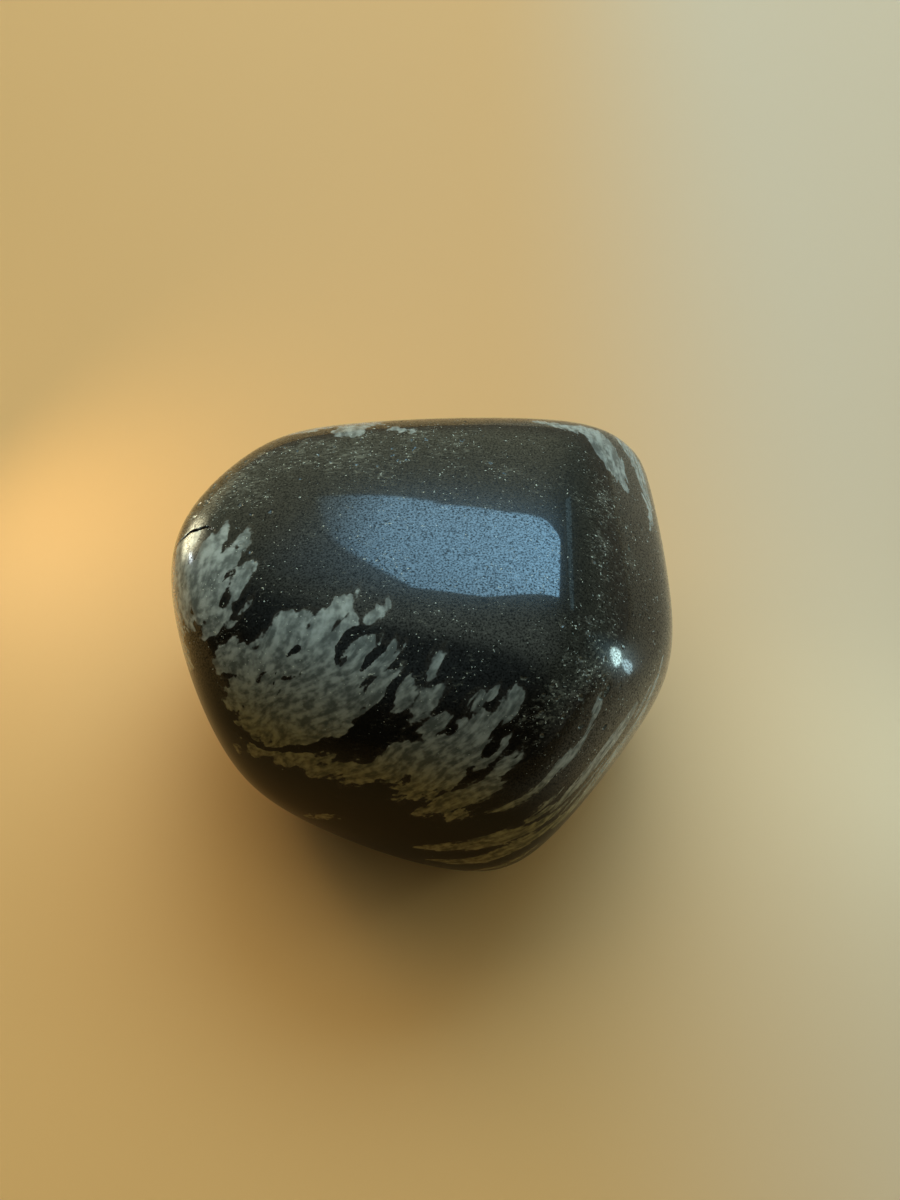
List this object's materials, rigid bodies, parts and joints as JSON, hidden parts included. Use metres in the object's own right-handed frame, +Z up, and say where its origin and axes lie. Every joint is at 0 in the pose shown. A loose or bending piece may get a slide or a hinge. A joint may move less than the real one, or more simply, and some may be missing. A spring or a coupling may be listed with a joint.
{
  "type": "snowflake obsidian tumbled stone",
  "caption": "Polished tumbled stone of black volcanic glass with grey feathery snowflake markings and softly rounded faces, resting on a worn flat spot.",
  "frame": {"origin": "under the middle of the stone, on the surface that it rests on", "axes": "+X along the stone's longest side, towards its steeper right face; +Z up, through its thinnest way"},
  "size_m": [0.0344, 0.0316, 0.0216],
  "materials": {
    "obsidian": "polished black volcanic glass with grey feathery spherulites, a few pits and fine scratches"
  },
  "bodies": {
    "root": {"stone": "obsidian"}
  },
  "joints": []
}
